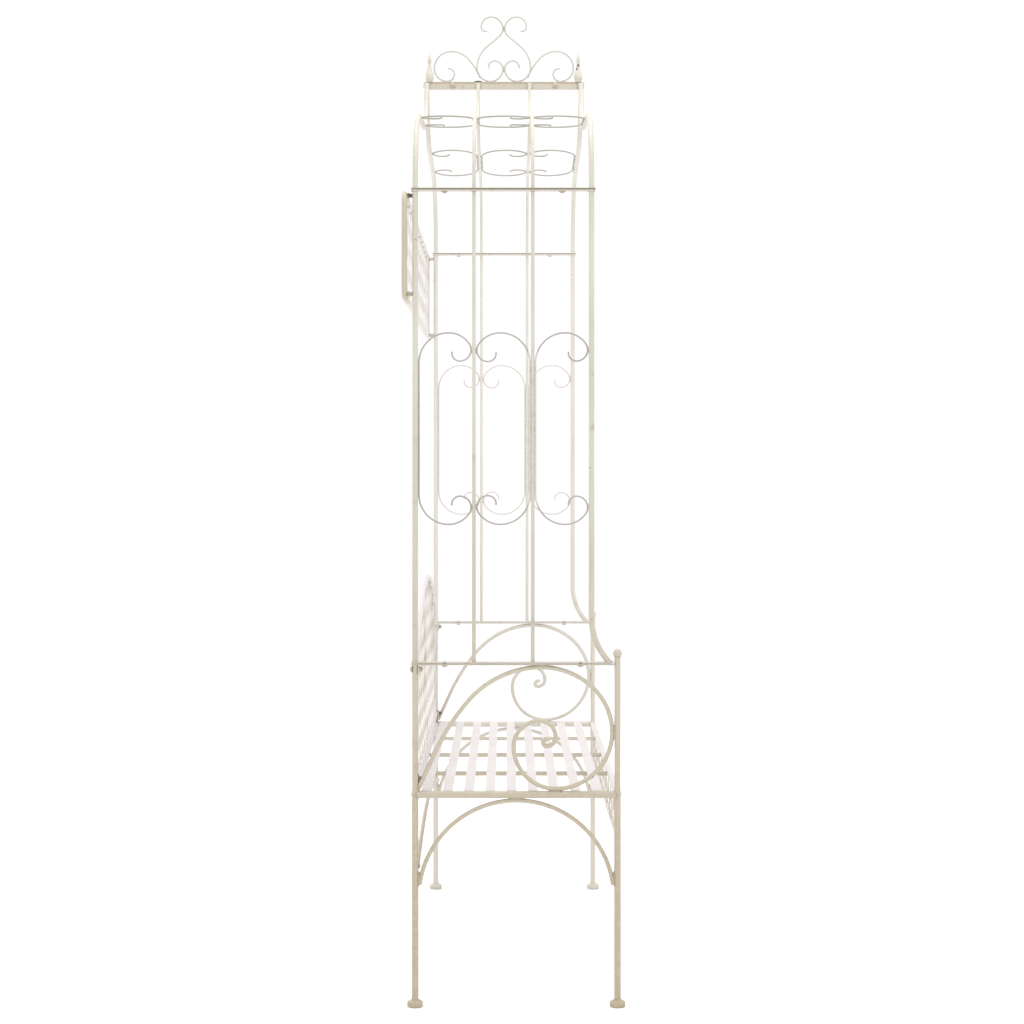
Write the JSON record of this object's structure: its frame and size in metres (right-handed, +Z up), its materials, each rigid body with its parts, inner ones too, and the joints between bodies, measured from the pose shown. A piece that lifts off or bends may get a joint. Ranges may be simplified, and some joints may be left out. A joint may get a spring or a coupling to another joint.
{
  "type": "garden bench",
  "caption": "Painted iron garden bench with a slatted seat, scrolled arms, trellis ends and an ogee roof with a scrolled crest.",
  "frame": {"origin": "on the floor, in the middle of the bounding box", "axes": "+X along the bench, -Y its front, +Z up"},
  "size_m": [1.28, 0.5, 2.3612],
  "materials": {
    "cream_paint": "aged cream paint, satin, worn brown at joints",
    "dark_fasteners": "darkened steel, satin, rust-stained"
  },
  "bodies": {
    "root": {"apron_bottom_bar": "cream_paint", "apron_lattice": "cream_paint", "arm_bar_left": "cream_paint", "arm_bar_right": "cream_paint", "arm_scroll_left": "cream_paint", "arm_scroll_right": "cream_paint", "back_bolts": "cream_paint", "back_bottom_rail": "cream_paint", "back_frame": "cream_paint", "back_lattice": "cream_paint", "back_lugs": "cream_paint", "ball_finials": "cream_paint", "bar_bolts": "cream_paint", "crest_heart_scrolls": "cream_paint", "crest_side_scrolls": "cream_paint", "feet": "cream_paint", "front_leg_left": "cream_paint", "front_leg_right": "cream_paint", "leg_arch_left": "cream_paint", "leg_arch_right": "cream_paint", "nuts": "dark_fasteners", "rear_leg_left": "cream_paint", "rear_leg_right": "cream_paint", "rear_stretcher": "cream_paint", "ridge_bar_left": "cream_paint", "ridge_bar_right": "cream_paint", "ridge_bolts": "cream_paint", "roof_base_bar_left": "cream_paint", "roof_base_bar_right": "cream_paint", "roof_front_tube_left": "cream_paint", "roof_front_tube_right": "cream_paint", "roof_rear_tube_left": "cream_paint", "roof_rear_tube_right": "cream_paint", "roof_rods_left": "cream_paint", "roof_rods_right": "cream_paint", "roof_scrolls_left": "cream_paint", "roof_scrolls_right": "cream_paint", "seat_cross_bars": "cream_paint", "seat_front_rail": "cream_paint", "seat_rear_rail": "cream_paint", "seat_side_rail_left": "cream_paint", "seat_side_rail_right": "cream_paint", "seat_slats": "cream_paint", "spire_finials": "cream_paint", "trellis_base_bar_left": "cream_paint", "trellis_base_bar_right": "cream_paint", "trellis_front_post_left": "cream_paint", "trellis_front_post_right": "cream_paint", "trellis_rear_post_left": "cream_paint", "trellis_rear_post_right": "cream_paint", "trellis_rods_left": "cream_paint", "trellis_rods_right": "cream_paint", "trellis_scrolls_left": "cream_paint", "trellis_scrolls_right": "cream_paint", "trellis_top_bar_left": "cream_paint", "trellis_top_bar_right": "cream_paint", "upper_panel_frame": "cream_paint", "upper_panel_lattice": "cream_paint", "upper_panel_spacers": "cream_paint", "upper_panel_studs": "dark_fasteners"}
  },
  "joints": []
}
